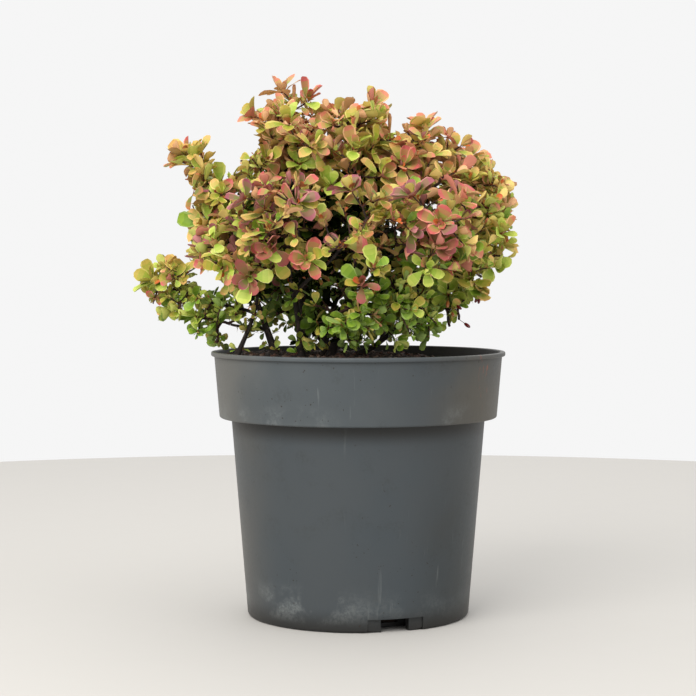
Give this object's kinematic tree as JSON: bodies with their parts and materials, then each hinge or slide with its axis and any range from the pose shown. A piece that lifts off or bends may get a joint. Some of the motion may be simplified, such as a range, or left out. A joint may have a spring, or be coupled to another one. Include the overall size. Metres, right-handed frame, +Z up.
{
  "type": "potted barberry shrub",
  "caption": "Low, dense, many-stemmed deciduous shrub with small spoon-shaped leaves in autumn-like tints, standing in its round nursery pot of grey plastic.",
  "frame": {"origin": "middle of the pot's flat underside, on the surface that it stands on", "axes": "+Z up along the pot's axis; -Y towards the side that the picture shows; +X to the right in it"},
  "size_m": [0.3613, 0.3123, 0.5148],
  "materials": {
    "pot_plastic": "matte",
    "potting_soil": "matte",
    "bark": "matte",
    "foliage": "matte"
  },
  "bodies": {
    "root": {"bough_back_left": "bark", "bough_back_left_low": "bark", "bough_back_right_low": "bark", "bough_far_left": "bark", "bough_front": "bark", "bough_front_low": "bark", "bough_front_right": "bark", "bough_front_right_low": "bark", "bough_inner": "bark", "bough_left_back": "bark", "bough_left_low": "bark", "bough_right": "bark", "bough_right_back": "bark", "bough_right_top": "bark", "bough_top_back_left": "bark", "bough_top_back_right": "bark", "bough_top_right": "bark", "leaves_back": "foliage", "leaves_back_left": "foliage", "leaves_back_left_low": "foliage", "leaves_back_right_low": "foliage", "leaves_far_left": "foliage", "leaves_front": "foliage", "leaves_front_left": "foliage", "leaves_front_low": "foliage", "leaves_front_right": "foliage", "leaves_front_right_low": "foliage", "leaves_inner": "foliage", "leaves_left": "foliage", "leaves_left_back": "foliage", "leaves_left_low": "foliage", "leaves_left_top": "foliage", "leaves_right": "foliage", "leaves_right_back": "foliage", "leaves_right_low": "foliage", "leaves_right_top": "foliage", "leaves_top": "foliage", "leaves_top_back_left": "foliage", "leaves_top_back_right": "foliage", "leaves_top_left": "foliage", "leaves_top_right": "foliage", "pot": "pot_plastic", "potting_soil": "potting_soil", "stem_back": "bark", "stem_front": "bark", "stem_left": "bark", "stem_low": "bark", "stem_middle": "bark", "stem_right": "bark", "stem_shoot": "bark"}
  },
  "joints": []
}
